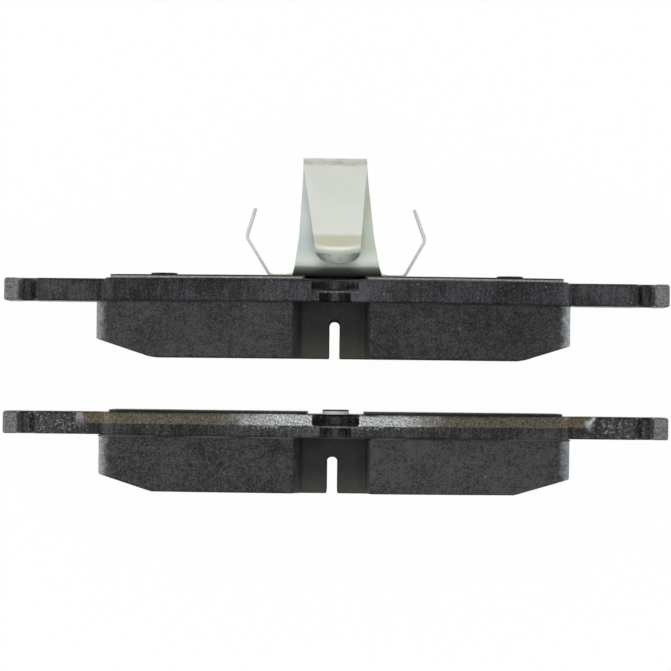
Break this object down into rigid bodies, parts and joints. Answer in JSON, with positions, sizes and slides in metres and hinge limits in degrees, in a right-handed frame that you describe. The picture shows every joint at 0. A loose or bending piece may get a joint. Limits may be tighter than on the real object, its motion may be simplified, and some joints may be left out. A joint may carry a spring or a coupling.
{
  "type": "disc brake pad set",
  "caption": "Hammer-ended disc brake pads for a floating caliper: inner pad with a riveted piston spring clip and outer pad, each with shim, curved lining, slot and wear-sensor notch.",
  "frame": {"origin": "middle of the bounding box in X and Y, on the plane the pads' feet stand on", "axes": "+X along the pads to the picture's right, +Y out of the back faces (towards the piston on the inner pad), +Z radially outward from the wheel's axis, towards the curved top edges"},
  "size_m": [0.1564, 0.078, 0.0636],
  "materials": {
    "inner_plate_paint": "dark powder coat, fine orange peel",
    "outer_plate_paint": "dark powder coat, worn bright on the pressed edge",
    "bonding_layer": "grey heat-cured adhesive",
    "underlayer": "dense dark pressed mix",
    "friction_mix": "granular pressed friction mix with pale flecks",
    "pale_damping_layer": "pale grey damping sheet",
    "dark_damping_layer": "black damping sheet",
    "shim_cover": "black coated steel sheet",
    "shim_rivet": "dark oiled steel",
    "clip_rivet": "zinc-plated steel",
    "spring_steel": "bright rolled spring steel strip"
  },
  "bodies": {
    "inner_pad": {"inner_backing_plate": "inner_plate_paint", "inner_bonding_layer": "bonding_layer", "inner_underlayer": "underlayer", "inner_friction_block": "friction_mix", "inner_shim_damping_layer": "pale_damping_layer", "inner_shim_cover": "shim_cover", "inner_shim_rivet_left": "shim_rivet", "inner_shim_rivet_right": "shim_rivet", "clip_base": "spring_steel", "clip_rivet_left": "clip_rivet", "clip_rivet_right": "clip_rivet"},
    "left_arm": {"clip_left_arm": "spring_steel"},
    "right_arm": {"clip_right_arm": "spring_steel"},
    "tongue": {"clip_tongue_leaf": "spring_steel"},
    "outer_pad": {"outer_backing_plate": "outer_plate_paint", "outer_bonding_layer": "bonding_layer", "outer_underlayer": "underlayer", "outer_friction_block": "friction_mix", "outer_shim_damping_layer_left": "dark_damping_layer", "outer_shim_damping_layer_right": "dark_damping_layer", "outer_shim_cover_left": "shim_cover", "outer_shim_cover_right": "shim_cover", "outer_locating_rivet": "shim_rivet"}
  },
  "joints": [
    {"name": "left_arm_flex", "type": "hinge", "parent": "inner_pad", "child": "left_arm", "pos_m": [-0.0158, 0.01178, 0.032], "axis": [0, 0, -1], "range_deg": [0, 8], "stiffness_Nm_per_rad": 1.7},
    {"name": "right_arm_flex", "type": "hinge", "parent": "inner_pad", "child": "right_arm", "pos_m": [0.0158, 0.01178, 0.032], "axis": [0, 0, 1], "range_deg": [0, 8], "stiffness_Nm_per_rad": 1.7},
    {"name": "tongue_flex", "type": "hinge", "parent": "inner_pad", "child": "tongue", "pos_m": [0, 0.03673, 0.0479], "axis": [1, 0, 0], "range_deg": [0, 6], "stiffness_Nm_per_rad": 1.2},
    {"name": "outer_pad_slide", "type": "slide", "parent": "inner_pad", "child": "outer_pad", "axis": [0, 1, 0], "range_m": [-0.03, 0.01]}
  ]
}
